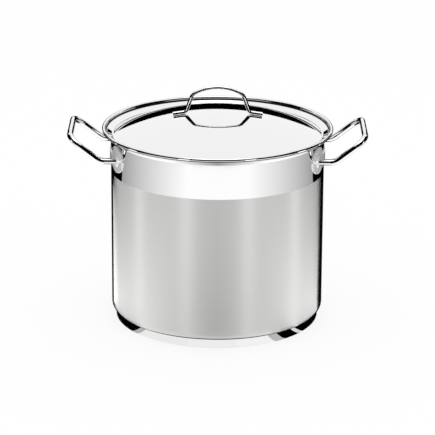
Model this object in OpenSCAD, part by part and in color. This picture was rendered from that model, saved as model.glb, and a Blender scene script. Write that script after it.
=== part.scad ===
// Stockpot: a tall drawn steel pot with a sandwich base, two bent rod handles on
// stamped saddle brackets, and a domed lid with a wire arch handle.
// Millimetres, +Z up, base on z = 0, handles along X.

/* [Body] */
// Outer diameter of the straight wall
body_d = 240; // [200:1:300]
// Height from the table to the top of the rim curl
pot_h = 223.2; // [160:0.1:300]
// Thickness of the drawn sheet
wall_t = 0.8; // [0.6:0.1:1.2]
// Outer radius where the wall turns into the floor
corner_r = 8; // [6:0.5:12]

/* [Rim] */
// How far the rim curl stands out from the wall
rim_out = 9.8; // [8.6:0.1:13]
// Outside diameter of the rolled edge
curl_d = 4.4; // [3.8:0.1:5]
// How far round the sheet is rolled, degrees
curl_turn = 285; // [255:5:300]
// Depth of the step bend's middle below the curl's middle
step_drop = 1.7; // [1.2:0.1:2.4]
// Slope of the flared seat for the lid, degrees from level
seat_slope = 35; // [28:1:42]
// Bend radius between the wall and the seat
flare_r = 3.5; // [2.5:0.5:5]
// Bend radius between the seat and the curl
step_r = 1.5; // [1.2:0.1:2]

/* [Sandwich base] */
// Outer diameter of the base cap
base_d = 230.4; // [196:0.2:288]
// Thickness of the aluminium core
core_t = 9; // [5:0.5:11]
// Thickness of the cap sheet
cap_t = 0.8; // [0.6:0.1:1.2]
// Edge radius round the bottom of the cap
cap_edge_r = 2.4; // [1.6:0.2:3.4]

/* [Lid] */
// Thickness of the lid sheet
lid_t = 0.7; // [0.5:0.1:1]
// Radius of the sphere that the dome is part of
dome_r = 295; // [260:5:420]
// Gap round the lid, between its edge and the rim curl
lid_edge_gap = 0.9; // [0.6:0.1:1.4]
// Bend radius in the valley round the dome
valley_r = 3; // [2:0.5:5]
// Width of the sloped shoulder, measured level
shoulder_w = 5.3; // [5:0.1:9]
// Running gap between the lid and its seat
seat_gap = 0.05; // [0:0.05:0.2]

/* [Lid handle] */
// Diameter of the wire
wire_d = 4.4; // [3.6:0.1:6]
// Height of the arch above the dome, to the middle of the wire
arch_h = 28.6; // [24:0.2:36]
// Radius of the top of the arch
arch_r = 52; // [44:1:70]
// How far the top arc turns on each side, degrees
arch_turn = 30; // [24:1:36]
// Bend radius at the shoulders of the arch
shoulder_r = 8; // [6:0.5:12]
// Slope of the arch's legs, degrees from level
leg_slope = 70; // [60:1:80]
// Bend radius where a leg turns into its foot
foot_bend_r = 3.4; // [2.8:0.2:5]
// Length of the straight foot that is welded to the dome
foot_len = 12.5; // [8:0.5:18]
// Distance from the axis at which the middle of a foot touches the dome
foot_r = 44.2; // [40:0.2:56]

/* [Side handles] */
// Diameter of the rod
rod_d = 6.8; // [6:0.1:8]
// Distance between the middles of the two legs
leg_gap = 91; // [80:1:98]
// Depth of the leg's middle below the top of the rim
leg_drop = 28.4; // [27:0.1:34]
// Reach of the level part of a leg beyond the wall's side
leg_reach = 10.5; // [9:0.5:16]
// Reach of the grip bar's middle beyond the wall's side
grip_reach = 44; // [38:0.5:52]
// Slope of the raised part, degrees from level
grip_slope = 38; // [25:0.5:45]
// Bend radius where the leg turns upwards
kink_r = 18; // [12:1:22]
// Bend radius at the corners of the grip
corner_bend_r = 16; // [10:1:20]

/* [Brackets] */
// Thickness of the stamped plate
plate_t = 1.2; // [0.8:0.1:1.6]
// Radius of the round lobe at each leg
lobe_r = 15; // [12:0.5:16]
// Distance from the middle of the bracket to a lobe's middle, along Y
lobe_y = 45; // [38:0.5:50]
// Depth of the lobes' middle below the top of the rim
lobe_drop = 26.6; // [26.4:0.1:32]
// How far the waist's upper edge lies above the lobes' middle
waist_up = 2; // [1:0.1:6]
// How far the waist's lower edge lies below the lobes' middle
waist_down = 11.4; // [6:0.1:12]
// Radius in the corners where the waist meets the lobes
waist_r = 5; // [3:0.5:7]
// Radius of the sphere that each boss is part of
boss_r = 16; // [13:0.5:20]
// Height of a boss above the plate
boss_h = 1.6; // [1.3:0.1:2.2]
// Width of the gap round a leg in its boss
leg_fit = 0.1; // [0.05:0.05:0.3]

/* [Hidden] */
$fn = 96;
// Arcs and straights that run into each other are knitted by a round this much larger.
knit = 0.006;
// The waist's corner rounds run this far into the lobes and the edges.
waist_lap = 0.04;
body_r = body_d / 2;
sheet_r = body_r - wall_t / 2;            // middle of the wall sheet
floor_z = cap_t + core_t;                 // underside of the pot's floor
cap_top = floor_z + corner_r / 2;         // where the cap and the core end, round the corner
curl_r = (curl_d - wall_t) / 2;           // middle of the rolled sheet
curl_c = [body_r + rim_out - curl_d / 2, pot_h - curl_d / 2];
seat_dir = [cos(seat_slope), sin(seat_slope)];
seat_up = [-sin(seat_slope), cos(seat_slope)];

// The seat line is placed by the step bend, which turns the sheet up into the curl.
step_c = [curl_c[0] - curl_r - step_r, curl_c[1] - step_drop];
seat_end = step_c - step_r * seat_up;
flare_x = sheet_r + flare_r * (1 - sin(seat_slope));
seat_start = seat_end - seat_dir * (seat_end[0] - flare_x) / cos(seat_slope);
flare_c = seat_start + flare_r * [sin(seat_slope), -cos(seat_slope)];

// The lid's sheet lies on the seat: its middle line is offset from the seat's.
lid_offset = wall_t / 2 + seat_gap + lid_t / 2;
lid_edge_x = curl_c[0] - curl_d / 2 - lid_edge_gap;
lid_edge = seat_start + lid_offset * seat_up
    + seat_dir * (lid_edge_x - seat_start[0] + lid_offset * sin(seat_slope)) / cos(seat_slope);
valley_end = lid_edge - seat_dir * shoulder_w / cos(seat_slope);
valley_c = valley_end + valley_r * seat_up;
dome_mid = dome_r - lid_t / 2;
dome_c = [0, valley_c[1] - sqrt(pow(dome_mid + valley_r, 2) - pow(valley_c[0], 2))];
dome_edge_a = atan2(valley_c[1] - dome_c[1], valley_c[0]);
dome_top = dome_c[1] + dome_r;

// Half of the arch, in the XZ plane, from its top outwards.
foot_a = asin(foot_r / (dome_r + wire_d / 2));
arch_c = [0, dome_top + arch_h - arch_r];
arch_end = arch_c + arch_r * [sin(arch_turn), cos(arch_turn)];
knee_c = arch_end - shoulder_r * [sin(arch_turn), cos(arch_turn)];
leg_n = [sin(leg_slope), cos(leg_slope)];
leg_dir = [cos(leg_slope), -sin(leg_slope)];
foot_n = [sin(foot_a), cos(foot_a)];
leg_start = knee_c + shoulder_r * leg_n;
bend_shift = foot_bend_r * (leg_n - foot_n);
leg_len = (foot_n * (leg_start + bend_shift - dome_c) - dome_r - wire_d / 2) / -(foot_n * leg_dir);

// Side handle, worked out for the +X side.
leg_y = leg_gap / 2;
leg_z = pot_h - leg_drop;
leg_start_x = body_r * cos(asin(leg_y / body_r)) - rod_d / 2;
kink_x = body_r + leg_reach;
kink_cut = kink_r * tan(grip_slope / 2);
slope_len = (grip_reach - leg_reach) / cos(grip_slope);

function at(a, r) = r * [cos(a), sin(a)];

// Pie slice that keeps the angles from a0 to a1, less than half a turn.
module slice(a0, a1, r) {
    far = r / cos((a1 - a0) / 4) * 1.02;
    polygon([[0, 0], at(a0, far), at((3 * a0 + a1) / 4, far), at((a0 + a1) / 2, far),
             at((a0 + 3 * a1) / 4, far), at(a1, far)]);
}

// Section of sheet that follows an arc.
module arc_sheet(c, r, t, a0, a1) {
    translate(c) intersection() {
        difference() {
            circle(r + t / 2);
            circle(r - t / 2);
        }
        slice(a0, a1, r + t);
    }
}

// Section of sheet that follows a straight line.
module line_sheet(p, q, t) {
    d = q - p;
    translate(p) rotate(atan2(d[1], d[0])) translate([0, -t / 2]) square([norm(d), t]);
}

// Rounds that knit the pieces of a section at the given points.
module sheet_knit(points, t) {
    for (p = points) translate(p) circle(d = t + knit);
}

// Straight rod along +Z. What follows it starts at its end.
module straight(len, d) {
    cylinder(h = len, d = d);
    translate([0, 0, len]) children();
}

// Rod bent from +Z towards +X. What follows it starts at its end.
module bend(r, turn, d) {
    translate([r, 0, 0]) {
        rotate([90, 0, 0]) rotate([0, 0, 180 - turn])
            rotate_extrude(angle = turn) translate([r, 0]) circle(d = d);
        rotate([0, turn, 0]) translate([-r, 0, 0]) children();
    }
}

// Ball that knits the lengths before and after it.
module knot(d) {
    sphere(d = d + knit);
    children();
}

// Turns the plane of the next bend about the rod's own line.
module roll(a) {
    rotate([0, 0, a]) children();
}

// Solid that the pot fills below its rim, used to seat what lies against it.
module pot_envelope() {
    rotate_extrude() {
        translate([0, floor_z]) square([body_r - corner_r, pot_h]);
        translate([0, floor_z + corner_r]) square([body_r, pot_h - 2 * corner_r]);
        translate([body_r - corner_r, floor_z + corner_r]) circle(corner_r);
    }
}

module pot_section() {
    mid_r = corner_r - wall_t / 2;
    corner_c = [body_r - corner_r, floor_z + corner_r];
    line_sheet([0, floor_z + wall_t / 2], corner_c - [0, mid_r], wall_t);
    arc_sheet(corner_c, mid_r, wall_t, -90, 0);
    line_sheet(corner_c + [mid_r, 0], [sheet_r, flare_c[1]], wall_t);
    arc_sheet(flare_c, flare_r, wall_t, 90 + seat_slope, 180);
    line_sheet(seat_start, seat_end, wall_t);
    arc_sheet(step_c, step_r, wall_t, seat_slope - 90, 0);
    line_sheet(step_c + [step_r, 0], curl_c - [curl_r, 0], wall_t);
    // The roll, in three arcs, from the step bend over the top and down outside.
    arc_sheet(curl_c, curl_r, wall_t, 60, 180);
    arc_sheet(curl_c, curl_r, wall_t, -60, 60);
    arc_sheet(curl_c, curl_r, wall_t, 180 - curl_turn, -60);
    sheet_knit([corner_c - [0, mid_r], corner_c + [mid_r, 0], [sheet_r, flare_c[1]],
                seat_start, seat_end, step_c + [step_r, 0], curl_c - [curl_r, 0]], wall_t);
}

module pot_body() {
    color([0.74, 0.74, 0.73]) rotate_extrude() pot_section();
}

// Outline of the cap, shrunk inwards by the given amount.
module cap_outline(inset) {
    r = base_d / 2 - inset;
    edge = cap_edge_r - inset;
    translate([0, inset]) square([r - edge, cap_top - inset]);
    translate([0, cap_edge_r]) square([r, cap_top - cap_edge_r]);
    translate([r - edge, cap_edge_r]) circle(edge);
}

// The core fills the cap up to the pot's floor and round its corner.
module base_core() {
    color([0.80, 0.81, 0.82]) difference() {
        rotate_extrude() cap_outline(cap_t);
        pot_envelope();
    }
}

module base_cap() {
    color([0.82, 0.82, 0.82]) difference() {
        rotate_extrude() difference() {
            cap_outline(0);
            cap_outline(cap_t);
        }
        pot_envelope();
    }
}

// Fills the corner between a lobe, drawn about the origin, and a waist edge at height h.
module waist_corner(h) {
    up = h + waist_r - waist_lap;
    dy = sqrt(pow(lobe_r + waist_r - waist_lap, 2) - pow(up, 2));
    difference() {
        polygon([[0, 0], [dy, 0], [dy, up]]);
        translate([dy, up]) circle(waist_r);
    }
}

// Outline of a bracket laid flat, Y to the right and Z up.
module bracket_outline() {
    translate([0, pot_h - lobe_drop]) {
        for (s = [0, 1]) mirror([s, 0]) translate([-lobe_y, 0]) {
            circle(lobe_r);
            waist_corner(waist_up);
            mirror([0, 1]) waist_corner(waist_down);
        }
        translate([-lobe_y, -waist_down]) square([2 * lobe_y, waist_down + waist_up]);
    }
}

// Ball whose cap stands boss_h out of the plate, on the line of a leg.
module boss_ball(r) {
    a = asin(leg_y / (body_r + plate_t));
    rotate([0, 0, a]) translate([body_r + plate_t + boss_h - boss_r, 0, leg_z]) sphere(r);
}

// Bracket on the +X side: a saddle plate with a domed boss round each leg.
module bracket() {
    difference() {
        union() {
            intersection() {
                rotate([90, 0, 90]) linear_extrude(body_r + 2 * plate_t) bracket_outline();
                cylinder(h = pot_h, r = body_r + plate_t);
            }
            for (s = [0, 1]) mirror([0, s, 0]) boss_ball(boss_r);
        }
        cylinder(h = pot_h, r = body_r);
        for (s = [0, 1]) mirror([0, s, 0]) {
            boss_ball(boss_r - plate_t);
            translate([0, leg_y, leg_z]) rotate([0, 90, 0])
                cylinder(h = 2 * body_r, d = rod_d + 2 * leg_fit);
        }
    }
}

module bracket_right() {
    color([0.85, 0.85, 0.85]) bracket();
}

module bracket_left() {
    color([0.85, 0.85, 0.85]) mirror([1, 0, 0]) bracket();
}

// One half of a side handle, on +X and +Y, up to the middle of the grip bar.
module handle_half() {
    translate([leg_start_x, leg_y, leg_z]) rotate([0, 90, 0])
        straight(kink_x - kink_cut - leg_start_x, rod_d) knot(rod_d)
        roll(180) bend(kink_r, grip_slope, rod_d) knot(rod_d)
        straight(slope_len - kink_cut - corner_bend_r, rod_d) knot(rod_d)
        roll(90) bend(corner_bend_r, 90, rod_d) knot(rod_d)
        straight(leg_y - corner_bend_r, rod_d) knot(rod_d);
}

// Side handle on +X. Its legs are cut to the wall that they are welded to.
module handle() {
    difference() {
        union() {
            handle_half();
            mirror([0, 1, 0]) handle_half();
        }
        cylinder(h = pot_h, r = body_r);
    }
}

module handle_right() {
    color([0.86, 0.86, 0.86]) handle();
}

module handle_left() {
    color([0.86, 0.86, 0.86]) mirror([1, 0, 0]) handle();
}

module lid_section() {
    arc_sheet(dome_c, dome_mid, lid_t, dome_edge_a, 90);
    arc_sheet(valley_c, valley_r, lid_t, dome_edge_a - 180, seat_slope - 90);
    line_sheet(valley_end, lid_edge, lid_t);
    sheet_knit([dome_c + at(dome_edge_a, dome_mid), valley_end], lid_t);
}

module lid() {
    color([0.93, 0.93, 0.93]) rotate_extrude() lid_section();
}

// Half of the lid's handle, from the top of the arch to the end of the foot on +X.
module arch_half() {
    translate([0, 0, dome_top + arch_h]) rotate([0, 90, 0])
        knot(wire_d) bend(arch_r, arch_turn, wire_d)
        knot(wire_d) bend(shoulder_r, leg_slope - arch_turn, wire_d)
        knot(wire_d) straight(leg_len, wire_d)
        knot(wire_d) roll(180) bend(foot_bend_r, leg_slope - foot_a, wire_d)
        knot(wire_d) straight(foot_len, wire_d);
}

module lid_handle() {
    color([0.86, 0.86, 0.86]) {
        arch_half();
        mirror([1, 0, 0]) arch_half();
    }
}

pot_body();
base_core();
base_cap();
bracket_left();
bracket_right();
handle_left();
handle_right();
lid();
lid_handle();
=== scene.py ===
# %% [markdown]
# A stockpot in polished and brushed steel.
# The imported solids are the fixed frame. Most visible pieces are built again here as fine,
# smooth meshes of the same form, because a polished surface shows every facet of a coarse one.
# The order is: the three round pieces, the tree that makes rods, the finishes, the handles,
# the brackets with the base's core, and last the studio. The studio matters as much as the
# steel, because polished steel shows only what stands round it.

# %% Load the frame
import math

import bpy
from mathutils import Matrix, Vector


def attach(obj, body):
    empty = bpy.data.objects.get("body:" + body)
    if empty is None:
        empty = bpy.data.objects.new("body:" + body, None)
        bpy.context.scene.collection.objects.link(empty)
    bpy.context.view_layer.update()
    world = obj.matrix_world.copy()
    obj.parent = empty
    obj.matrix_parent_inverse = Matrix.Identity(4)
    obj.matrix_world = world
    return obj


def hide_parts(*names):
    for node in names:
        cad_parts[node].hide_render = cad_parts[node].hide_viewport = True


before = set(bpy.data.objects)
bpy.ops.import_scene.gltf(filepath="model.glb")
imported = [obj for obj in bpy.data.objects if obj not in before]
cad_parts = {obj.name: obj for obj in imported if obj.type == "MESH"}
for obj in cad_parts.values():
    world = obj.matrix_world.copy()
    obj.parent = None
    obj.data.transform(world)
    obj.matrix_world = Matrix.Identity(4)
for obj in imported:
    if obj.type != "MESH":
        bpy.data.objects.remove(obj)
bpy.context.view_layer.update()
print("nodes:", ", ".join(sorted(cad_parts)))

# %% [markdown]
# Sheet and rod are bent from straight stock, so their outlines are drawn the way the metal is
# bent: walk straight, turn on a radius, walk on. A list of points would do too, but then no
# size could be changed by itself. Every point of a walk also knows its heading, so the two
# faces of a sheet lie exactly half a thickness to the left and to the right of it. All sizes
# are those of the solids, in millimetres, and a mesh is turned into metres when it is made.

# %% Walk along a bent sheet
MM = 0.001
NEAR_BEND = 0.3           # a straight has a point this near each end, so that it shades flat


def walk(start, heading, moves, bend_step=5.0, straight_step=12.0):
    """Points (x, y, heading) along straights ("go", mm) and bends ("turn", radius, degrees)."""
    x, y = start
    path = [(x, y, heading)]
    for kind, size, *turn in moves:
        if kind == "go":
            n = max(1, round(size / straight_step))
            stops = [size * i / n for i in range(1, n + 1)]
            if size > 4 * NEAR_BEND:
                stops = [NEAR_BEND] + stops[:-1] + [size - NEAR_BEND, size]
            across, up = math.cos(math.radians(heading)), math.sin(math.radians(heading))
            path += [(x + d * across, y + d * up, heading) for d in stops]
            x, y = x + size * across, y + size * up
        else:
            angle = turn[0]
            arc = size * math.radians(abs(angle))
            n = max(2, round(abs(angle) / bend_step), round(arc / straight_step))
            chord = 2 * size * math.sin(math.radians(abs(angle) / n / 2))
            for _ in range(n):
                middle = math.radians(heading + angle / n / 2)
                x += chord * math.cos(middle)
                y += chord * math.sin(middle)
                heading += angle / n
                path.append((x, y, heading))
    return path


# %% Both faces of a sheet
def beside(point, offset):
    """The point that lies offset to the left of a walk's point."""
    x, y, heading = point
    a = math.radians(heading)
    return (x - offset * math.sin(a), y + offset * math.cos(a))


def round_end(point, thickness, steps=4):
    """Points round the free end of a sheet, from its left face to its right face."""
    x, y, heading = point
    around_end = []
    for i in range(1, steps):
        a = math.radians(heading + 90 - 180 * i / steps)
        around_end.append((x + thickness / 2 * math.cos(a), y + thickness / 2 * math.sin(a)))
    return around_end


def sheet_outline(path, thickness):
    """Left face, round end and right face of a sheet whose walk starts on the pot's axis."""
    left = [beside(p, thickness / 2) for p in path]
    right = [beside(p, -thickness / 2) for p in path]
    return left + round_end(path[-1], thickness) + right[::-1]


# %% [markdown]
# Pot, cap and lid are round, so each is one outline spun about the axis. The Screw modifier
# could spin it, but here each face also remembers the part of the outline that it came from,
# which later picks its finish. The outline starts and ends on the axis, where all the steps of
# the spin share one point, so the solid closes without a hole or a stack of doubled points.

# %% A mesh from points
SHARP = 50                # edges that turn more than this many degrees stay sharp


def piece(name, points, faces):
    """A mesh object from points in millimetres, shaded smooth, with its place in its mesh."""
    mesh = bpy.data.meshes.new(name)
    mesh.from_pydata([[c * MM for c in p] for p in points], [], faces)
    mesh.validate()
    mesh.shade_smooth()
    mesh.set_sharp_from_angle(angle=math.radians(SHARP))
    obj = bpy.data.objects.new(name, mesh)
    bpy.context.scene.collection.objects.link(obj)
    return obj


# %% Spin an outline
SPIN_STEPS = 256
ON_AXIS = 1e-6


def spun(name, outline):
    """A solid of revolution. Returns it with the outline's index for each of its faces."""
    points, rings = [], []
    for r, z in outline:
        if r < ON_AXIS:
            rings.append([len(points)] * SPIN_STEPS)
            points.append((0, 0, z))
        else:
            rings.append(list(range(len(points), len(points) + SPIN_STEPS)))
            for i in range(SPIN_STEPS):
                a = 2 * math.pi * i / SPIN_STEPS
                points.append((r * math.cos(a), r * math.sin(a), z))
    area = sum(a[0] * b[1] - b[0] * a[1] for a, b in zip(outline, outline[1:] + outline[:1]))
    faces, source = [], []
    for k, (a, b) in enumerate(zip(rings, rings[1:])):
        for i in range(SPIN_STEPS):
            j = (i + 1) % SPIN_STEPS
            corners = list(dict.fromkeys([a[i], a[j], b[j], b[i]]))
            if len(corners) > 2:
                faces.append(corners if area > 0 else corners[::-1])
                source.append(k)
    obj = piece(name, points, faces)
    print(f"{name}: {len(faces)} faces")
    return obj, source


# %% [markdown]
# The pot body is one drawn sheet: floor, corner, straight wall, a flared seat for the lid, a
# small step and the rolled edge. A cylinder with a Solidify modifier could give the wall, but
# not the roll, which turns back on itself. So its walk follows the middle of the sheet from
# the axis outwards, and the seat's length is worked out from the places of wall and roll.

# %% Sizes of the pot body
WALL_R, WALL_T = 120.0, 0.8   # outside of the straight wall, and the sheet
FLOOR_Z, CORNER_R = 9.8, 8.0  # underside of the floor, outside radius of the corner
BAND_Z = 174.4                # lower edge of the polished band
FLARE_R, SEAT_SLOPE = 3.5, 35
STEP_R, STEP_DROP = 1.5, 1.7
CURL_R, CURL_TURN = 1.8, 285  # the roll, to the middle of its sheet
CURL_X, CURL_Z = 127.6, 221.0

slope = math.radians(SEAT_SLOPE)
sheet_x = WALL_R - WALL_T / 2
step_x, step_z = CURL_X - CURL_R - STEP_R, CURL_Z - STEP_DROP
seat_end = (step_x + STEP_R * math.sin(slope), step_z - STEP_R * math.cos(slope))
seat_start_x = sheet_x + FLARE_R * (1 - math.sin(slope))
seat_len = (seat_end[0] - seat_start_x) / math.cos(slope)
seat_start = (seat_start_x, seat_end[1] - seat_len * math.sin(slope))
flare_z = seat_start[1] - FLARE_R * math.cos(slope)
print("seat:", round(seat_len, 2), "mm long, from height", round(seat_start[1], 2), "mm")

# %% Pot body
pot_path = walk((0, FLOOR_Z + WALL_T / 2), 0, [
    ("go", WALL_R - CORNER_R),
    ("turn", CORNER_R - WALL_T / 2, 90),
    ("go", BAND_Z - FLOOR_Z - CORNER_R),
    ("go", flare_z - BAND_Z),
    ("turn", FLARE_R, SEAT_SLOPE - 90),
    ("go", seat_len),
    ("turn", STEP_R, 90 - SEAT_SLOPE),
    ("go", STEP_DROP),
    ("turn", CURL_R, -CURL_TURN),
])
pot_outline = sheet_outline(pot_path, WALL_T)
pot_skin, pot_source = spun("pot_skin", pot_outline)
print("rim top:", round(max(z for r, z in pot_outline), 3), "mm")

# %% [markdown]
# The cap is a shallow pressed cup round the aluminium core. A flat cylinder would leave a
# step under the pot's rounded corner, so the cap's upper edge is drawn up against that corner,
# and the height of the edge is worked out from the corner's circle.

# %% Base cap
CAP_R, CAP_T, CAP_EDGE_R = 115.2, 0.8, 2.4
CAP_BEND_STEP = 9


def under_corner(r):
    """Height of the outside of the pot's corner at radius r."""
    return FLOOR_Z + CORNER_R - math.sqrt(CORNER_R ** 2 - (r - WALL_R + CORNER_R) ** 2)


def cap_side(inset):
    """The cap's outer face, or with an inset of its sheet its inner face."""
    top = under_corner(CAP_R - inset)
    path = walk((0, inset), 0, [("go", CAP_R - CAP_EDGE_R), ("turn", CAP_EDGE_R - inset, 90),
                                ("go", top - CAP_EDGE_R)], CAP_BEND_STEP)
    return [(x, z) for x, z, _ in path]


cap_outer, cap_inner = cap_side(0), cap_side(CAP_T)
cap_outline = cap_outer + cap_inner[::-1]
cap_skin, cap_source = spun("cap_skin", cap_outline)

# %% [markdown]
# The lid is pressed from thinner sheet: a shallow dome, a tight valley round it and a sloped
# shoulder that lies on the pot's seat. A scaled half sphere would be a dome of the wrong
# curve, and the dome's curve is what the dark crescent in its reflection depends on. So the
# dome is part of a true sphere, and its height follows from the valley, which has to touch
# both the sphere and the shoulder.

# %% Lid
LID_T, DOME_R = 0.7, 295.0
VALLEY_R, SHOULDER_W = 3.0, 5.3
SEAT_GAP, EDGE_GAP = 0.05, 0.9
LID_EDGE_X = CURL_X - CURL_R - WALL_T / 2 - EDGE_GAP

up = (-math.sin(slope), math.cos(slope))
along = (math.cos(slope), math.sin(slope))
lift = WALL_T / 2 + SEAT_GAP + LID_T / 2
seat_to_edge = (LID_EDGE_X - seat_start[0] + lift * math.sin(slope)) / math.cos(slope)
lid_edge = tuple(seat_start[i] + lift * up[i] + seat_to_edge * along[i] for i in (0, 1))
shoulder_len = SHOULDER_W / math.cos(slope)
valley_c = tuple(lid_edge[i] - shoulder_len * along[i] + VALLEY_R * up[i] for i in (0, 1))
dome_mid = DOME_R - LID_T / 2
dome_z = valley_c[1] - math.sqrt((dome_mid + VALLEY_R) ** 2 - valley_c[0] ** 2)
dome_turn = math.degrees(math.atan2(valley_c[0], valley_c[1] - dome_z))
dome_top = dome_z + DOME_R

lid_path = walk((0, dome_top - LID_T / 2), 0, [
    ("turn", dome_mid, -dome_turn),
    ("turn", VALLEY_R, dome_turn + SEAT_SLOPE),
    ("go", shoulder_len - LID_T / 2),
], bend_step=4, straight_step=3)
lid_skin, lid_source = spun("lid_skin", sheet_outline(lid_path, LID_T))
print("dome top:", round(dome_top, 2), "mm")

# %% [markdown]
# The three handles are round rod and wire. A curve with a bevel could make each, but they all
# follow one rule, so one Geometry Nodes tree makes them: the path's mesh becomes a curve, a
# circle runs along it, and both ends are closed. A point attribute called thickness draws the
# ends in a little, as a cut and deburred rod has them.

# %% Geometry Nodes tree for a rod
def rod_tree():
    """A tree that turns a path into a round rod with closed ends."""
    tree = bpy.data.node_groups.new("rod along a path", "GeometryNodeTree")
    face = tree.interface
    face.new_socket("Path", in_out="INPUT", socket_type="NodeSocketGeometry")
    face.new_socket("Rod radius", in_out="INPUT", socket_type="NodeSocketFloat")
    face.new_socket("Sides", in_out="INPUT", socket_type="NodeSocketInt")
    face.new_socket("Finish", in_out="INPUT", socket_type="NodeSocketMaterial")
    face.new_socket("Rod", in_out="OUTPUT", socket_type="NodeSocketGeometry")
    new, link = tree.nodes.new, tree.links.new
    start, end = new("NodeGroupInput"), new("NodeGroupOutput")
    to_curve, to_mesh = new("GeometryNodeMeshToCurve"), new("GeometryNodeCurveToMesh")
    thickness = new("GeometryNodeInputNamedAttribute")
    thickness.inputs["Name"].default_value = "thickness"
    set_radius = new("GeometryNodeSetCurveRadius")
    circle = new("GeometryNodeCurvePrimitiveCircle")
    smooth = new("GeometryNodeSetShadeSmooth")
    realize, finish = new("GeometryNodeRealizeInstances"), new("GeometryNodeSetMaterial")
    link(start.outputs["Path"], to_curve.inputs["Mesh"])
    link(to_curve.outputs["Curve"], set_radius.inputs["Curve"])
    link(thickness.outputs["Attribute"], set_radius.inputs["Radius"])
    link(set_radius.outputs["Curve"], to_mesh.inputs["Curve"])
    link(start.outputs["Sides"], circle.inputs["Resolution"])
    link(start.outputs["Rod radius"], circle.inputs["Radius"])
    link(circle.outputs["Curve"], to_mesh.inputs["Profile Curve"])
    to_mesh.inputs["Fill Caps"].default_value = True
    link(to_mesh.outputs["Mesh"], smooth.inputs["Geometry"])
    link(smooth.outputs["Geometry"], realize.inputs["Geometry"])
    link(realize.outputs["Geometry"], finish.inputs["Geometry"])
    link(start.outputs["Finish"], finish.inputs["Material"])
    link(finish.outputs["Geometry"], end.inputs["Rod"])
    return tree


ROD_TREE = rod_tree()
SOCKET = {s.name: s.identifier for s in ROD_TREE.interface.items_tree if s.in_out == "INPUT"}
print("rod tree inputs:", ", ".join(SOCKET))

# %% [markdown]
# The modifier's inputs are set by the sockets' identifiers.

# %% Make a rod
ROD_SIDES = 40


def rod(name, path, diameter, finish, thickness=None):
    """A round rod along a path of points in millimetres."""
    mesh = bpy.data.meshes.new(name)
    edges = [(i, i + 1) for i in range(len(path) - 1)]
    mesh.from_pydata([[c * MM for c in p] for p in path], edges, [])
    mesh.attributes.new("thickness", "FLOAT", "POINT")
    mesh.attributes["thickness"].data.foreach_set("value", thickness or [1.0] * len(path))
    obj = bpy.data.objects.new(name, mesh)
    bpy.context.scene.collection.objects.link(obj)
    nodes = obj.modifiers.new("rod", "NODES")
    nodes.node_group = ROD_TREE
    nodes[SOCKET["Rod radius"]] = diameter / 2 * MM
    nodes[SOCKET["Sides"]] = ROD_SIDES
    nodes[SOCKET["Finish"]] = finish
    bpy.context.view_layer.update()
    made = bpy.data.meshes.new_from_object(obj.evaluated_get(bpy.context.evaluated_depsgraph_get()))
    obj.modifiers.clear()
    obj.data = made
    made.name = name
    print(f"{name}: {len(made.polygons)} faces")
    return obj


# %% [markdown]
# Finishes come next, because the rods take theirs as they are made. All the steel is one
# metal with different surface work. Photographs of scratched steel could be wrapped round it,
# but noise on Object coordinates has no seam and stays sharp from close by. These helpers
# make a node, a metal and a noise.

# %% Small helpers for materials
def node(tree, kind, values=None, **settings):
    """A new node with its settings, and with values on its inputs."""
    made = tree.nodes.new(kind)
    for key, value in settings.items():
        setattr(made, key, value)
    for key, value in (values or {}).items():
        made.inputs[key].default_value = value
    return made


def new_metal(name, metal):
    """A material with its tree and its shader. metal below 1 makes it part matt."""
    material = bpy.data.materials.new(name)
    material.use_nodes = True
    tree = material.node_tree
    shader = tree.nodes["Principled BSDF"]
    shader.inputs["Metallic"].default_value = metal
    return material, tree, shader


# %% Noise and relief
def grain(tree, scale, detail=4.0, roughness=0.6):
    """Noise on Object coordinates, stretched by scale."""
    place = node(tree, "ShaderNodeTexCoord")
    stretch = node(tree, "ShaderNodeMapping", {"Scale": scale})
    noise = node(tree, "ShaderNodeTexNoise", {"Scale": 1.0, "Detail": detail, "Roughness": roughness})
    tree.links.new(place.outputs["Object"], stretch.inputs["Vector"])
    tree.links.new(stretch.outputs["Vector"], noise.inputs["Vector"])
    return noise.outputs["Fac"]


USEFUL = (0.3, 0.7)       # noise hardly ever leaves this range


def ranged(tree, source, span, low, high):
    """Maps a span of values to the range low to high."""
    mapped = node(tree, "ShaderNodeMapRange", {"From Min": span[0], "From Max": span[1],
                                               "To Min": low, "To Max": high})
    tree.links.new(source, mapped.inputs["Value"])
    return mapped.outputs["Result"]


RELIEF = 0.0001           # metres


def ridged(tree, shader, height, strength):
    """Fine relief on a shader."""
    bump = node(tree, "ShaderNodeBump", {"Strength": strength, "Distance": RELIEF})
    tree.links.new(height, bump.inputs["Height"])
    tree.links.new(bump.outputs["Normal"], shader.inputs["Normal"])


# %% [markdown]
# Polished steel is a mirror with a very low roughness. One number for all of it would look
# like glass, so a faint, cloudy variation is added, which the buffing wheel leaves on it.

# %% Polished steel
CLOUDS, BUFFING = (22, 22, 22), (900, 900, 900)


def polished(name, shade, rough=(0.02, 0.05), metal=1.0):
    """A mirror with a cloudy roughness between the two values of rough."""
    material, tree, shader = new_metal(name, metal)
    shader.inputs["Base Color"].default_value = (*shade, 1)
    clouds = grain(tree, CLOUDS, detail=3)
    tree.links.new(ranged(tree, clouds, USEFUL, *rough), shader.inputs["Roughness"])
    ridged(tree, shader, grain(tree, BUFFING, detail=2), strength=0.02)
    return material


# %% [markdown]
# Brushed steel has fine grooves round the pot. They spread light up and down but hardly
# sideways, which Anisotropic does without a groove being modelled. Ground steel is also part
# matt when it is looked at straight on, and turns glossy at a glancing angle, so Layer
# Weight, which knows that angle, raises the metal and lowers the roughness there.

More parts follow.
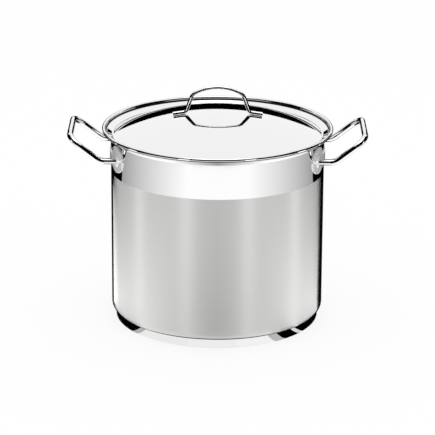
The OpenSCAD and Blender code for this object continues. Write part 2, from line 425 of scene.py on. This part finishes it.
# %% Brushed steel
GLANCE = (0.66, 0.80)     # Layer Weight values between which part matt steel turns glossy
GLANCE_ROUGH = 0.25       # how much of its roughness is left there
STRETCH, ACROSS = 0.85, 0.25      # how much the light spreads, and a quarter turn to do it
COARSER = 6               # the grooves also come in bands, this many times as wide


def glancing(tree, shader, roughness, metal):
    """Metal rises to 1 at a glancing angle. Returns the roughness, which falls there."""
    facing = node(tree, "ShaderNodeLayerWeight", {"Blend": 0.5}).outputs["Facing"]
    tree.links.new(ranged(tree, facing, GLANCE, metal, 1.0), shader.inputs["Metallic"])
    calmed = node(tree, "ShaderNodeMath", operation="MULTIPLY")
    tree.links.new(roughness, calmed.inputs[0])
    tree.links.new(ranged(tree, facing, GLANCE, 1.0, GLANCE_ROUGH), calmed.inputs[1])
    return calmed.outputs["Value"]


def brushed(name, shade, rough, scale, streak=0.05, metal=1.0):
    """Grooves run along the directions in which scale is small, and streak is their contrast."""
    material, tree, shader = new_metal(name, metal)
    lines = grain(tree, scale, detail=5, roughness=0.7)
    bands = grain(tree, tuple(s / COARSER for s in scale), detail=3)
    both = node(tree, "ShaderNodeMix", {0: 0.5}, data_type="FLOAT")
    tree.links.new(lines, both.inputs[2])
    tree.links.new(bands, both.inputs[3])
    tint = node(tree, "ShaderNodeMix", data_type="RGBA")
    tint.inputs[6].default_value = (*[c * (1 - streak) for c in shade], 1)
    tint.inputs[7].default_value = (*[c * (1 + streak) for c in shade], 1)
    tree.links.new(ranged(tree, both.outputs[0], USEFUL, 0, 1), tint.inputs[0])
    tree.links.new(tint.outputs[2], shader.inputs["Base Color"])
    roughness = ranged(tree, both.outputs[0], USEFUL, *rough)
    if metal < 1:
        roughness = glancing(tree, shader, roughness, metal)
    tree.links.new(roughness, shader.inputs["Roughness"])
    shader.inputs["Anisotropic"].default_value = STRETCH
    shader.inputs["Anisotropic Rotation"].default_value = ACROSS
    tangent = node(tree, "ShaderNodeTangent", direction_type="RADIAL", axis="Z")
    tree.links.new(tangent.outputs["Tangent"], shader.inputs["Tangent"])
    ridged(tree, shader, lines, strength=0.08)
    return material


# %% [markdown]
# Now each finish gets its numbers. Rods, lid, band and cap are polished. The wall is ground
# round the pot, the inside has finer rings, and the underside is turned. The brackets' plates
# are a little softer than the rods. Two narrow places get a nearly black colour, which is painted
# shade: the groove beside the rim, and the joint over the base.

# %% The finishes
BRIGHT = (0.87, 0.87, 0.87)
RINGS, FINE_RINGS, TURNED = (6, 6, 2600), (6, 6, 1800), (60, 60, 60)
band_finish = polished("polished band", (0.86, 0.86, 0.86))
rod_finish = polished("polished rod", BRIGHT)
lid_finish = polished("polished lid", (0.88, 0.88, 0.88))
plate_finish = polished("satin plate", BRIGHT, (0.06, 0.12), metal=0.3)
cap_finish = polished("polished cap", (0.86, 0.86, 0.86))
wall_finish = brushed("brushed wall", (0.82, 0.82, 0.81), (0.40, 0.48), RINGS,
                      streak=0.03, metal=0.6)
# painted shade: nearly black steel for the groove beside the rim and the joint over the base
painted_shade_finish = brushed("painted groove shade", (0.05, 0.05, 0.05), (0.45, 0.55), RINGS)
inside_finish = brushed("satin inside", (0.66, 0.66, 0.65), (0.28, 0.36), FINE_RINGS)
sole_finish = brushed("turned underside", (0.68, 0.68, 0.67), (0.25, 0.35), TURNED, streak=0.03)
print("finishes:", ", ".join(material.name for material in bpy.data.materials))

# %% [markdown]
# The rim and the band below it are polished, the wall below is brushed, and the inside has a
# satin finish. The sheet could be split into one object for each finish, but then the seams
# would show. One mesh with several finishes has none, and the outline's place in the walk says
# which face is which: it goes out along the inside of the pot and comes back on the outside.

# %% Finishes of the pot, the cap and the lid
# the fourth finish is the painted shade of the groove and the joint
BAND, WALL, INSIDE, PAINTED_SHADE = range(4)
EDGE, SOLE = range(2)
GROOVE_TOP, GROOVE_LOW = CURL_Z - 0.8, CURL_Z - 2.8   # painted shade inside the seat, and below the roll
JOINT_TOP = FLOOR_Z + 2.7     # the joint over the base cap gets painted shade too
HAIR = 0.01                   # smaller than any step of an outline


def dress(obj, finishes, chosen):
    """Gives a piece its finishes, and each of its faces the one whose number chosen lists."""
    obj.data.materials.clear()
    for finish in finishes:
        obj.data.materials.append(finish)
    obj.data.polygons.foreach_set("material_index", chosen)


def pot_part(k):
    """The finish of the faces between the outline's points k and k + 1."""
    (r0, z0), (r1, z1) = pot_outline[k:k + 2]
    r, z = (r0 + r1) / 2, (z0 + z1) / 2
    if k < len(pot_path):
        if z < seat_start[1]:
            return INSIDE
        # inside the seat, up to GROOVE_TOP, the faces get painted shade
        return PAINTED_SHADE if z < GROOVE_TOP else BAND
    # the joint over the base and the faces under the roll get painted shade
    if z < JOINT_TOP or (z > GROOVE_LOW and r < CURL_X - CURL_R):
        return PAINTED_SHADE
    return BAND if min(z0, z1) >= BAND_Z - HAIR else WALL


def cap_part(k):
    """The cap's edge is polished. Its flat underside and its inner face are turned."""
    return SOLE if k > len(cap_outer) or cap_outline[k + 1][1] < HAIR else EDGE


dress(pot_skin, [band_finish, wall_finish, inside_finish, painted_shade_finish],
      [pot_part(k) for k in pot_source])
dress(cap_skin, [cap_finish, sole_finish], [cap_part(k) for k in cap_source])
dress(lid_skin, [lid_finish], [0] * len(lid_source))
print("polished faces of the pot:", sum(pot_part(k) == BAND for k in pot_source))

# %% [markdown]
# Each side handle is one rod: two legs that leave the wall level, kink upwards and meet the
# grip at rounded corners. Its bends lie in two planes, so a flat walk can't draw it. A line
# through six corners in space can, with each of its inner corners rounded. The legs are drawn
# a little way into the pot, and what lies inside the wall is then pulled back to the wall.

# %% A bent path in space
def fillet(points, radius, bend_step=5.0):
    """Rounds the inner corners of a line through points. radius has one value for each."""
    path = [Vector(points[0])]
    for before, corner, after, r in zip(points, points[1:], points[2:], radius):
        before, corner, after = Vector(before), Vector(corner), Vector(after)
        into, out = (corner - before).normalized(), (after - corner).normalized()
        turn = into.angle(out)
        cut = r * math.tan(turn / 2)
        first = corner - into * cut
        side = (out - into * out.dot(into)).normalized()
        n = max(2, round(math.degrees(turn) / bend_step))
        for i in range(n + 1):
            a = turn * i / n
            path.append(first + into * (r * math.sin(a)) + side * (r * (1 - math.cos(a))))
    path.append(Vector(points[-1]))
    return path


def spaced(path, step=6.0):
    """The same path with its long straights cut into steps."""
    out = [path[0]]
    for a, b in zip(path, path[1:]):
        n = max(1, round((b - a).length / step))
        out += [a.lerp(b, i / n) for i in range(1, n + 1)]
    return out


# %% Side handles
ROD_D, LEG_Y, LEG_Z = 6.8, 45.5, 194.8
LEG_REACH, GRIP_REACH, GRIP_SLOPE = 10.5, 44.0, 38.0   # reaches count from the wall
KINK_R, GRIP_R = 18.0, 16.0
LEG_SUNK, CUT_GAP = 12.0, 0.02    # how far a leg is drawn into the wall, and clears it once cut


def side_handle(name, side):
    """One handle. side is 1 towards +X and -1 away from it."""
    wall_x = math.sqrt(WALL_R ** 2 - LEG_Y ** 2)
    kink_x, grip_x = WALL_R + LEG_REACH, WALL_R + GRIP_REACH
    grip_z = LEG_Z + (grip_x - kink_x) * math.tan(math.radians(GRIP_SLOPE))
    leg = [(wall_x - LEG_SUNK, LEG_Y, LEG_Z), (kink_x, LEG_Y, LEG_Z), (grip_x, LEG_Y, grip_z)]
    corners = leg + [(x, -y, z) for x, y, z in leg[::-1]]
    path = spaced(fillet([(side * x, y, z) for x, y, z in corners],
                         [KINK_R, GRIP_R, GRIP_R, KINK_R]))
    obj = rod(name, path, ROD_D, rod_finish)
    cut = (WALL_R + CUT_GAP) * MM
    for v in obj.data.vertices:
        if math.hypot(v.co.x, v.co.y) < cut:
            v.co.x = side * math.sqrt(cut ** 2 - v.co.y ** 2)
    return obj


handle_skins = {name: side_handle(f"{name}_skin", side)
                for name, side in (("handle_left", -1), ("handle_right", 1))}

# %% [markdown]
# The lid's handle is one wire: a flat arch, two rounded shoulders, sloped legs and two feet
# that lie on the dome. It is flat, so it is a walk again. A leg of a chosen length would leave
# its foot above the dome or inside it, so the length is worked out from the dome's sphere.

# %% Lid handle
WIRE_D, ARCH_H = 4.4, 28.6
ARCH_R, ARCH_TURN, SHOULDER_R = 52.0, 30, 8.0
LEG_SLOPE, FOOT_BEND_R = 70, 3.4
FOOT_LEN, FOOT_R = 12.5, 44.2     # FOOT_R is the distance of a foot from the pot's axis
TIP_LEN, TIP_DRAWN = 0.4, 0.88    # the cut ends are drawn in over the last bit

foot_turn = math.degrees(math.asin(FOOT_R / (DOME_R + WIRE_D / 2)))
arch_start = (0, dome_top + ARCH_H)
arch_bends = [("turn", ARCH_R, -ARCH_TURN), ("turn", SHOULDER_R, ARCH_TURN - LEG_SLOPE)]
foot_bend = ("turn", FOOT_BEND_R, LEG_SLOPE - foot_turn)


def leg_length():
    """Length of the straight leg that brings the foot onto the dome."""
    x, z, _ = walk(arch_start, 0, arch_bends + [foot_bend])[-1]
    a = math.radians(foot_turn)
    height = x * math.sin(a) + (z - dome_z) * math.cos(a) - DOME_R - WIRE_D / 2
    return height / math.sin(math.radians(LEG_SLOPE - foot_turn))


half = walk(arch_start, 0, arch_bends + [("go", leg_length()), foot_bend,
                                         ("go", FOOT_LEN - TIP_LEN), ("go", TIP_LEN)],
            bend_step=3, straight_step=3)
arch_path = [Vector((-x, 0, z)) for x, z, _ in half[::-1]] + [Vector((x, 0, z)) for x, z, _ in half[1:]]
arch_thickness = [TIP_DRAWN] + [1.0] * (len(arch_path) - 2) + [TIP_DRAWN]
lid_handle_skin = rod("lid_handle_skin", arch_path, WIRE_D, rod_finish, arch_thickness)
print("leg of the lid's handle:", round(leg_length(), 2), "mm")

# %% [markdown]
# A solid and its new mesh would lie in each other if both were shown. So every new piece
# stands for its node, which hides the node, and rides on the one body of this row.

# %% Ride and replace
stands_for = [
    (pot_skin, "pot_body", "wall"),
    (cap_skin, "base_cap", "cap"),
    (lid_skin, "lid", "lid"),
    (lid_handle_skin, "lid_handle", "wire"),
    (handle_skins["handle_left"], "handle_left", "rod"),
    (handle_skins["handle_right"], "handle_right", "rod"),
]
for skin, stood_for, finish_slot in stands_for:
    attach(skin, "root")
    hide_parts(stood_for)
print("nodes that a finer mesh stands for:", len(stands_for))

# %% [markdown]
# The brackets are small stamped plates with two bosses, and the core is sealed in the base.
# They could be built again too, but the solids' own meshes are fine enough for pieces this
# small, or out of sight, so they only get their finish.

# %% Brackets and core
kept_nodes = {"bracket_left": plate_finish, "bracket_right": plate_finish, "base_core": sole_finish}
for name, finish in kept_nodes.items():
    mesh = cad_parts[name].data
    mesh.materials.clear()
    mesh.materials.append(finish)
print("nodes that stay as they are:", ", ".join(kept_nodes))

# %% [markdown]
# The studio is a white room. The world is plain white at strength 1, so a colour renders
# about as it is written. Polished steel needs something dark to show its shape. In the photo
# that is a belt of dark things round the horizon, high at the front and the sides and low
# behind the pot. A picture of a room could play that part, but boards that are set one by one
# put each dark edge where the photo has it.

# %% World
scene = bpy.context.scene
scene.view_settings.view_transform = "Standard"
world = bpy.data.worlds.new("white room")
world.use_nodes = True
world.node_tree.nodes["Background"].inputs["Color"].default_value = (1, 1, 1, 1)
world.node_tree.nodes["Background"].inputs["Strength"].default_value = 1.0
scene.world = world
print("world:", world.name)


# %% Helpers for the studio
def stage_sheet(name, points, material, faces=None):
    """A sheet of the studio, from points in metres."""
    mesh = bpy.data.meshes.new(name)
    mesh.from_pydata(points, [], faces or [tuple(range(len(points)))])
    mesh.materials.append(material)
    obj = bpy.data.objects.new(name, mesh)
    scene.collection.objects.link(obj)
    return obj


def around(azimuth, distance, height):
    """A place at an azimuth counted from the camera's side towards +X."""
    a = math.radians(azimuth)
    return (distance * math.sin(a), -distance * math.cos(a), height)


# %% [markdown]
# The floor is pale and keeps a soft shadow. A plain white floor would make the whole wall
# white, because the wall reflects it. The real one is bright ahead of the pot, falls off
# towards the sides, and is dimmer close by, where the pot shades it. So the floor has two
# looks: nearly plain white for the camera, and these shades of white for the pot.

# %% Brightness of the floor
# What the pot sees, close by and far off: two azimuths, and the brightness at each.
NEAR_GLOW, FAR_GLOW = (0, 60, 0.20, 1.40), (30, 112, 1.14, 0.42)
NEAR_R, FAR_R = 0.15, 0.60


def floor_glow(tree):
    """Brightness by azimuth, which is 0 towards the camera, and by distance."""
    link = tree.links.new
    place = node(tree, "ShaderNodeTexCoord")
    axes = node(tree, "ShaderNodeSeparateXYZ")
    ahead = node(tree, "ShaderNodeMath", {1: -1.0}, operation="MULTIPLY")
    azimuth = node(tree, "ShaderNodeMath", operation="ARCTAN2")
    either_side = node(tree, "ShaderNodeMath", operation="ABSOLUTE")
    link(place.outputs["Object"], axes.inputs["Vector"])
    link(axes.outputs["Y"], ahead.inputs[0])
    link(axes.outputs["X"], azimuth.inputs[0])
    link(ahead.outputs["Value"], azimuth.inputs[1])
    link(azimuth.outputs["Value"], either_side.inputs[0])
    reach = node(tree, "ShaderNodeVectorMath", operation="LENGTH")
    link(place.outputs["Object"], reach.inputs[0])
    blend = node(tree, "ShaderNodeMix", data_type="FLOAT")
    link(ranged(tree, reach.outputs["Value"], (NEAR_R, FAR_R), 0, 1), blend.inputs[0])
    for socket, (first, last, at_first, at_last) in ((2, NEAR_GLOW), (3, FAR_GLOW)):
        span = math.radians(first), math.radians(last)
        fall = ranged(tree, either_side.outputs["Value"], span, at_first, at_last)
        link(fall, blend.inputs[socket])
    return blend.outputs[0]


# %% Floor material
CAMERA_WHITE = 0.85       # share of plain white for the camera, the rest is shaded paint
WHITE, PAINT = (1, 1, 1, 1), (0.9, 0.9, 0.9, 1)


def blended(tree, share, first, second):
    """Mixes two shaders. share is a number or a socket."""
    mix = node(tree, "ShaderNodeMixShader")
    if isinstance(share, float):
        mix.inputs["Fac"].default_value = share
    else:
        tree.links.new(share, mix.inputs["Fac"])
    tree.links.new(first, mix.inputs[1])
    tree.links.new(second, mix.inputs[2])
    return mix.outputs["Shader"]


def floor_material():
    """White with a shadow for the camera, graded for the pot, and clear from below."""
    material = bpy.data.materials.new("pale floor")
    material.use_nodes = True
    tree = material.node_tree
    tree.nodes.clear()
    paint = node(tree, "ShaderNodeBsdfDiffuse", {"Color": PAINT}).outputs["BSDF"]
    white = node(tree, "ShaderNodeEmission", {"Color": WHITE, "Strength": 1.0}).outputs["Emission"]
    graded = node(tree, "ShaderNodeEmission", {"Color": WHITE})
    tree.links.new(floor_glow(tree), graded.inputs["Strength"])
    clear = node(tree, "ShaderNodeBsdfTransparent").outputs["BSDF"]
    is_camera = node(tree, "ShaderNodeLightPath").outputs["Is Camera Ray"]
    is_below = node(tree, "ShaderNodeNewGeometry").outputs["Backfacing"]
    seen = blended(tree, CAMERA_WHITE, paint, white)
    above = blended(tree, is_camera, graded.outputs["Emission"], seen)
    out = node(tree, "ShaderNodeOutputMaterial")
    tree.links.new(blended(tree, is_below, above, clear), out.inputs["Surface"])
    return material


# %% Lay the floor
FLOOR_HALF = 6.0
floor_corners = [(x * FLOOR_HALF, y * FLOOR_HALF, 0) for x, y in ((-1, -1), (1, -1), (1, 1), (-1, 1))]
stage_sheet("floor", floor_corners, floor_material())
print("floor:", 2 * FLOOR_HALF, "m wide")

# %% [markdown]
# Boards stand on rings round the pot. The camera, soft light and shadows don't see them, so
# they change nothing but reflections. The front belt's upper part is whole. Its lower part has
# gaps with white strips in them, which only the brushed wall reflects, and which leave its
# soft upright streaks. The rear boards are low, and the dark crescent on the lid is their
# reflection, so their upper edge follows the crescent's lower edge.

# %% Boards that only reflections see
def plain_material(name, shade, strength=0.0):
    """A plain colour that no light changes. At strength 0 it is black."""
    material = bpy.data.materials.new(name)
    material.use_nodes = True
    tree = material.node_tree
    tree.nodes.clear()
    glow = node(tree, "ShaderNodeEmission", {"Color": (*shade, 1), "Strength": strength})
    out = node(tree, "ShaderNodeOutputMaterial")
    tree.links.new(glow.outputs["Emission"], out.inputs["Surface"])
    return material


def only_reflected(obj):
    """Hides a board from everything but reflections."""
    obj.visible_camera = False
    obj.visible_diffuse = False
    obj.visible_shadow = False
    obj.visible_transmission = False
    obj.visible_volume_scatter = False


def ring_board(name, first, last, low, high, distance, material, step=5):
    """A curved board between two azimuths. high is one height or that of each end."""
    ends = high if isinstance(high, tuple) else (high, high)
    n = max(1, round((last - first) / step))
    turns = [first + (last - first) * i / n for i in range(n + 1)]
    points = [around(a, distance, low) for a in turns]
    points += [around(a, distance, ends[0] + (ends[1] - ends[0]) * i / n) for i, a in enumerate(turns)]
    faces = [(i, i + 1, i + n + 2, i + n + 1) for i in range(n)]
    only_reflected(stage_sheet(name, points, material, faces))


black = plain_material("black board", (0, 0, 0))

# %% The belt in front and at the sides
FRONT_R, FRONT_TOP, SIDE_TOP = 0.82, 1.50, 1.25
FRONT_END, BELT_END = 35, 125
BELT_LOW = 0.2            # about the height of the handles
GAPS = ((25, 35), (79, 89))
STRIP_LOW, STRIP_LIGHT = 0.04, 2.6

gap_edges = [0, *[azimuth for gap in GAPS for azimuth in gap], BELT_END]
belt_parts = [(0, FRONT_END, BELT_LOW, FRONT_TOP), (FRONT_END, BELT_END, BELT_LOW, SIDE_TOP)]
belt_parts += [(first, last, 0, BELT_LOW) for first, last in zip(gap_edges[::2], gap_edges[1::2])]
for side, name in ((-1, "left"), (1, "right")):
    for first, last, low, top in belt_parts:
        ring_board(f"belt_{name}_{first}_{last}", *sorted((side * first, side * last)),
                   low, top, FRONT_R, black)

strip_white = plain_material("white strip", (1, 1, 1), STRIP_LIGHT)
strips = sorted([*GAPS, *[(-last, -first) for first, last in GAPS]])
for i, (first, last) in enumerate(strips):
    ring_board(f"strip_{i}", first, last, STRIP_LOW, BELT_LOW, FRONT_R, strip_white)
print("belt parts:", 2 * len(belt_parts), "and white strips:", len(strips))

# %% The rear boards
REAR_R = 1.25
# Azimuth and height of the upper edge, from the right to the left of the picture.
REAR_TOPS = ((125, 0.40), (162, 0.40), (170, 0.435), (178, 0.455), (198, 0.435), (235, 0.435))
for i, ((first, top), (last, next_top)) in enumerate(zip(REAR_TOPS, REAR_TOPS[1:])):
    ring_board(f"rear_board_{i}", first, last, 0, (top, next_top), REAR_R, black, 2)
print("rear boards:", len(REAR_TOPS) - 1)

# %% [markdown]
# A rod is a bent mirror that shows the whole room in a thin line, so its black edges need
# something dark close by. Bigger boards would do it, but the wall would show them too. These
# cards are small: one ahead of each near leg, turned edge-on to the rays from the wall, and a
# curved one outside and behind each far leg.

# %% Cards round the side handles
NEAR_CARD = ((0.128, -0.099, 0.160), (0.185, -0.107, 0.196),
             (0.185, -0.107, 0.236), (0.128, -0.099, 0.198))
FAR_CARD_AT, FAR_CARD_R = (0.15, 0.045, 0.21), 0.10
FAR_CARD_TURN = (92, 148)                 # azimuths of its two ends
FAR_CARD_RISE = (14, 22, 30, 38, 46)      # degrees above its centre


def far_card(side):
    """Points and faces of a card that is part of a sphere."""
    points = []
    for degrees in FAR_CARD_RISE:
        rise = math.radians(degrees)
        for azimuth in FAR_CARD_TURN:
            x, y, z = around(side * azimuth, FAR_CARD_R * math.cos(rise), FAR_CARD_R * math.sin(rise))
            points.append((side * FAR_CARD_AT[0] + x, FAR_CARD_AT[1] + y, FAR_CARD_AT[2] + z))
    faces = [(i, i + 1, i + 3, i + 2) for i in range(0, len(points) - 2, 2)]
    return points, faces


for side, name in ((-1, "left"), (1, "right")):
    near_points = [(side * x, y, z) for x, y, z in NEAR_CARD]
    far_points, far_faces = far_card(side)
    only_reflected(stage_sheet(f"near_card_{name}", near_points, black))
    only_reflected(stage_sheet(f"far_card_{name}", far_points, black, far_faces))
print("far card:", len(far_faces), "faces")

# %% [markdown]
# The steel turns black at the left and right edges of the pot, where it reflects the floor
# beside and behind it. The whole floor could be dark there, but then the camera and the white
# shadow side would show it. A black board just above the floor is seen by reflections alone.
# Each of its front lines starts at the wall where the dark edge starts, and runs the way the
# wall reflects it. The brushed wall has a thinner dark edge on the left than on the right.

# %% Dark floor beside and behind the pot
PATCH_Z = 0.0004
FLOOR_BOARD = ((-0.1174, -0.025), (0.1135, -0.039), (0.43, 0.363), (0.53, 0.265), (0.587, 0.277),
               (1.72, 1.2), (-1.72, 1.2), (-0.587, 0.277), (-0.53, 0.265), (-0.325, 0.441))


def floor_patch(name, points, material):
    """A flat board that lies just above the floor."""
    only_reflected(stage_sheet(name, [(x, y, PATCH_Z) for x, y in points], material))


floor_patch("floor_board", FLOOR_BOARD, black)
print("floor board:", len(FLOOR_BOARD), "corners")

# %% [markdown]
# The cap's rounded edge shows the floor right under it as a ring of dark and light stretches.
# Sectors of floor close round the base make them one by one, black or a shade of white.

# %% Floor close round the base
PATCH_IN, PATCH_OUT, PATCH_STEPS = 0.100, 0.145, 8
BASE_DARK = ((-100, -56), (42, 54), (58, 100))      # azimuths of the two ends
BASE_LIGHT = ((-56, -51, 0.5), (-51, -18, 0.95), (-18, 12, 0.98),
              (12, 35, 1.02), (35, 42, 0.55), (54, 58, 0.8))


def base_patch(name, first, last, material):
    """A sector of the floor between two azimuths."""
    turns = [first + (last - first) * i / PATCH_STEPS for i in range(PATCH_STEPS + 1)]
    inner, outer = [[around(a, r, 0)[:2] for a in turns] for r in (PATCH_IN, PATCH_OUT)]
    floor_patch(name, inner + outer[::-1], material)


for i, (first, last) in enumerate(BASE_DARK):
    base_patch(f"base_dark_{i}", first, last, black)
for i, (first, last, strength) in enumerate(BASE_LIGHT):
    base_patch(f"base_light_{i}", first, last,
               plain_material(f"light floor {i}", (1, 1, 1), strength))
print("patches round the base:", len(BASE_DARK) + len(BASE_LIGHT))

# %% [markdown]
# One large soft lamp hangs overhead. It is weak, because the white world lights the pot well,
# and it is there for the soft shadow under the pot.

# %% Lamp
def lamp(name, place, aim, size, watts):
    """An area lamp at a place in metres, turned towards aim."""
    light = bpy.data.lights.new(name, "AREA")
    light.shape = "RECTANGLE"
    light.size, light.size_y = size
    light.energy = watts
    obj = bpy.data.objects.new(name, light)
    scene.collection.objects.link(obj)
    obj.location = place
    obj.rotation_mode = "QUATERNION"
    obj.rotation_quaternion = (Vector(aim) - Vector(place)).to_track_quat("-Z", "Y")


lamp("overhead", place=(0, -0.3, 2.4), aim=(0, 0, 0.1), size=(1.4, 1.4), watts=7.0)
print("lamp: overhead")

# %% [markdown]
# The camera stands where the photographer's did: a long lens, a little above the pot, with a
# third of a degree of roll. It could be placed by eye, but the ellipse of the rim shows an
# error of half a degree. The numbers come from fitting the rim, the band and the base.

# %% Camera
FOCAL_PX, FRAME_PX, SENSOR = 2394.0, 435.0, 36.0
ELEVATION, DISTANCE, ROLL = math.radians(18.29), 2.722, math.radians(0.313)
AIM = Vector((0.00037, 0, 0.1147))
camera_data = bpy.data.cameras.new("camera")
camera_data.sensor_width = SENSOR
camera_data.lens = FOCAL_PX / FRAME_PX * SENSOR
camera_data.clip_start, camera_data.clip_end = 0.1, 50
camera = bpy.data.objects.new("camera", camera_data)
scene.collection.objects.link(camera)
back = Vector((0, -math.cos(ELEVATION), math.sin(ELEVATION)))
camera.matrix_world = (Matrix.Translation(AIM + back * DISTANCE)
                       @ Matrix.Rotation(math.pi / 2 - ELEVATION, 4, "X")
                       @ Matrix.Rotation(ROLL, 4, "Z"))
scene.camera = camera
print("lens:", round(camera_data.lens, 1), "mm")
